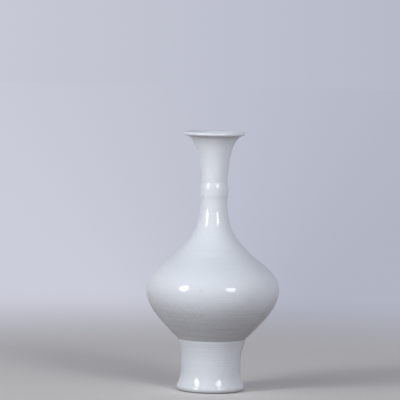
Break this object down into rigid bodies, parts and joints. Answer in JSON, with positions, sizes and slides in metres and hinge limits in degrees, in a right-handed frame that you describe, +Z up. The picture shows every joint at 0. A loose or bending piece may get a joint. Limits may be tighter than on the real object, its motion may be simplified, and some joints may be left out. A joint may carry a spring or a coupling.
{
  "type": "flask vase",
  "caption": "White crackle-glazed porcelain flask vase with a trumpet mouth, a slim ringed neck, a squat round belly and a high hollow foot.",
  "frame": {"origin": "centre of the face that the foot ring rests on", "axes": "+Z up the vase's axis, from the foot to the mouth; -Y towards the camera of the picture"},
  "size_m": [0.1598, 0.1598, 0.31],
  "materials": {
    "crackle_glaze": "gloss",
    "glazed_slip": "gloss"
  },
  "bodies": {
    "root": {"foot": "crackle_glaze", "foot_slip_joint": "glazed_slip", "bowl_with_floor": "crackle_glaze", "belly_slip_joint": "glazed_slip", "shoulder": "crackle_glaze", "shoulder_slip_joint": "glazed_slip", "lower_neck": "crackle_glaze", "neck_slip_joint": "glazed_slip", "upper_neck_with_mouth": "crackle_glaze"}
  },
  "joints": []
}
